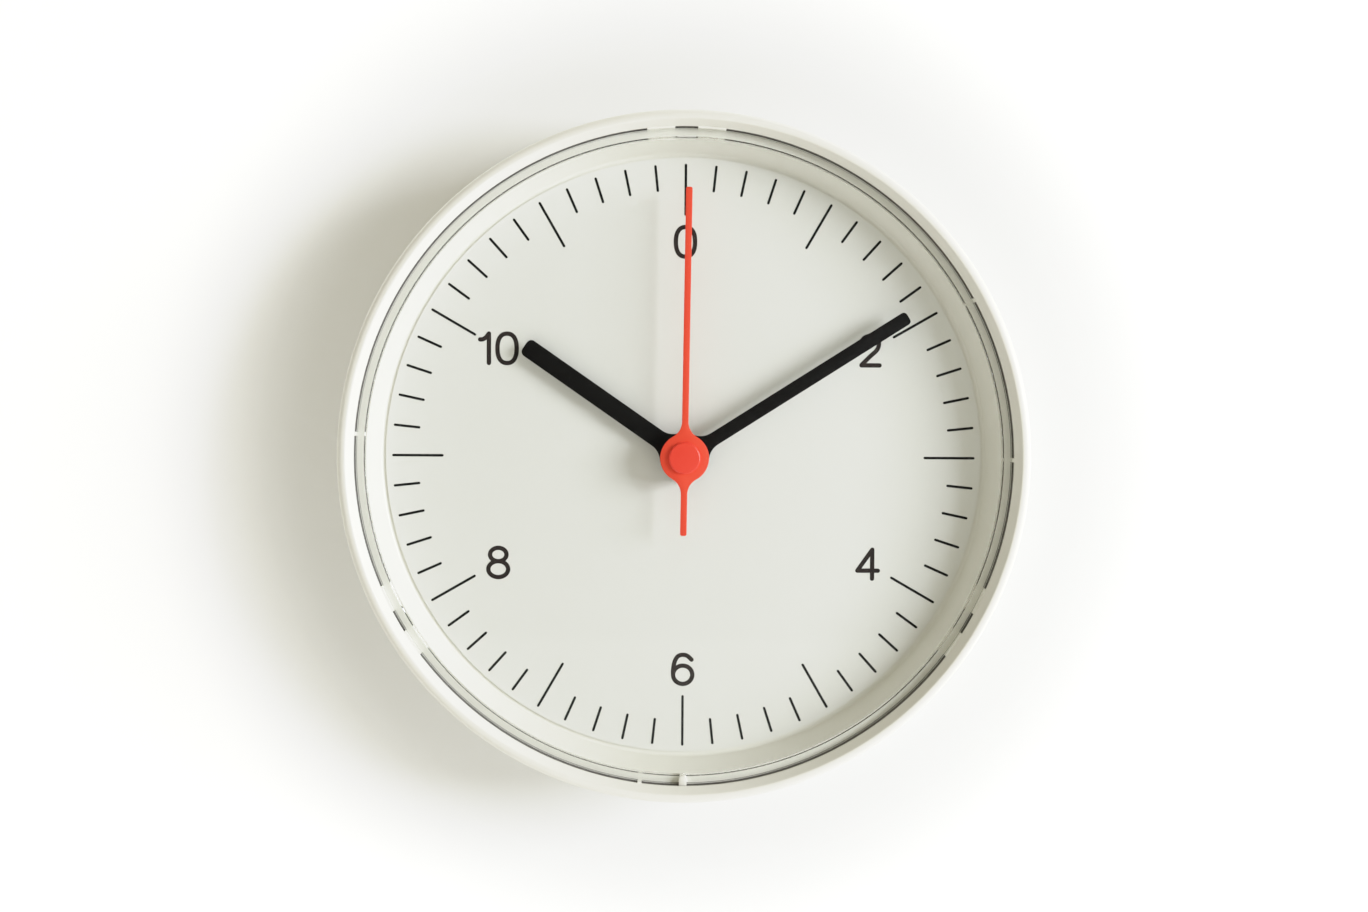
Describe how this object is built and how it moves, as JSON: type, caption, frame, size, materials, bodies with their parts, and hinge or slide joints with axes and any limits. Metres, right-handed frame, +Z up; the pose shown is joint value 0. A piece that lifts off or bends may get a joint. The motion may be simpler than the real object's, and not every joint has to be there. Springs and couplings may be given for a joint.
{
  "type": "wall clock",
  "caption": "Round white wall clock with an off-white dial, black hands, a red second hand, a clear front and a battery quartz movement hung from a keyhole plate.",
  "frame": {"origin": "centre of the rear edge of the case, in the plane of the wall", "axes": "+Z up, -Y out of the wall towards the viewer, +X to the viewer's right"},
  "size_m": [0.265, 0.055, 0.265],
  "materials": {
    "case_white": "fine satin",
    "clear": "clear, polished",
    "dial_white": "matt print",
    "hand_black": "satin black paint",
    "hand_red": "satin red-orange paint",
    "boss_red": "satin",
    "movement_black": "fine grain",
    "gear_white": "moulded",
    "gear_amber": "moulded",
    "brass": "turned",
    "rubber": "matt",
    "plate_steel": "zinc plated",
    "spring_steel": "nickel plated",
    "magnet": "sintered",
    "copper": "enamelled wire",
    "bobbin": "moulded",
    "board": "phenolic",
    "resin": "cast",
    "can": "drawn",
    "cell_jacket": "printed jacket, no marks"
  },
  "bodies": {
    "clock": {"case": "case_white", "lens": "clear", "dial": "dial_white", "rubber_washer": "rubber", "threaded_stem": "brass", "fixing_washer": "brass", "fixing_nut": "brass", "housing_front": "movement_black", "housing_cover": "movement_black", "train_plate": "gear_white", "contact_positive": "spring_steel", "contact_negative": "spring_steel", "circuit_board": "board", "chip": "resin", "crystal_can": "can", "coil_bobbin": "bobbin", "coil_winding": "copper", "coil_core": "plate_steel", "stator": "plate_steel", "stator_screws": "plate_steel", "hanger_plate": "plate_steel", "hanger_screws": "plate_steel"},
    "cell": {"battery_cell": "cell_jacket"},
    "second": {"second_hand": "hand_red", "hand_boss": "boss_red", "seconds_arbor": "spring_steel", "seconds_wheel": "gear_white"},
    "rotor": {"rotor_magnet": "magnet", "rotor_pinion": "gear_white"},
    "intermediate": {"intermediate_wheel": "gear_white"},
    "third": {"third_wheel": "gear_amber"},
    "centre": {"centre_wheel": "gear_white"},
    "minute": {"minute_hand": "hand_black", "minute_tube": "brass", "friction_washer": "spring_steel"},
    "motion": {"motion_wheel": "gear_amber"},
    "hour": {"hour_hand": "hand_black", "hour_wheel": "gear_white"},
    "knob": {"setting_knob": "gear_white"}
  },
  "joints": [
    {"name": "seconds_turn", "type": "hinge", "parent": "clock", "child": "second", "pos_m": [0, -0.02, 0], "axis": [0, 1, 0], "continuous": true},
    {"name": "rotor_turn", "type": "hinge", "parent": "clock", "child": "rotor", "pos_m": [-0.01133, -0.02, 0.01099], "axis": [0, 1, 0], "continuous": true},
    {"name": "intermediate_turn", "type": "hinge", "parent": "clock", "child": "intermediate", "pos_m": [-0.00849, -0.02, 0.0049], "axis": [0, 1, 0], "continuous": true},
    {"name": "third_turn", "type": "hinge", "parent": "clock", "child": "third", "pos_m": [0.00857, -0.022, 0.00495], "axis": [0, 1, 0], "continuous": true},
    {"name": "centre_turn", "type": "hinge", "parent": "clock", "child": "centre", "pos_m": [0, -0.024, 0], "axis": [0, 1, 0], "continuous": true},
    {"name": "minute_turn", "type": "hinge", "parent": "clock", "child": "minute", "pos_m": [0, -0.027, 0], "axis": [0, 1, 0], "continuous": true},
    {"name": "motion_turn", "type": "hinge", "parent": "clock", "child": "motion", "pos_m": [-0.0105, -0.027, 0], "axis": [0, 1, 0], "continuous": true},
    {"name": "hour_turn", "type": "hinge", "parent": "clock", "child": "hour", "pos_m": [0, -0.029, 0], "axis": [0, 1, 0], "continuous": true},
    {"name": "knob_turn", "type": "hinge", "parent": "clock", "child": "knob", "pos_m": [-0.01867, -0.015, -0.00572], "axis": [0, 1, 0], "continuous": true},
    {"name": "cell_slide", "type": "slide", "parent": "clock", "child": "cell", "axis": [0, 1, 0], "range_m": [0, 0.04]}
  ],
  "couplings": [
    {"joint": "intermediate_turn", "follows": "seconds_turn", "ratio": -6},
    {"joint": "rotor_turn", "follows": "seconds_turn", "ratio": 30},
    {"joint": "third_turn", "follows": "seconds_turn", "ratio": -0.13333},
    {"joint": "centre_turn", "follows": "seconds_turn", "ratio": 0.016667},
    {"joint": "motion_turn", "follows": "minute_turn", "ratio": -0.33333},
    {"joint": "hour_turn", "follows": "minute_turn", "ratio": 0.083333},
    {"joint": "knob_turn", "follows": "minute_turn", "ratio": 1.25}
  ]
}
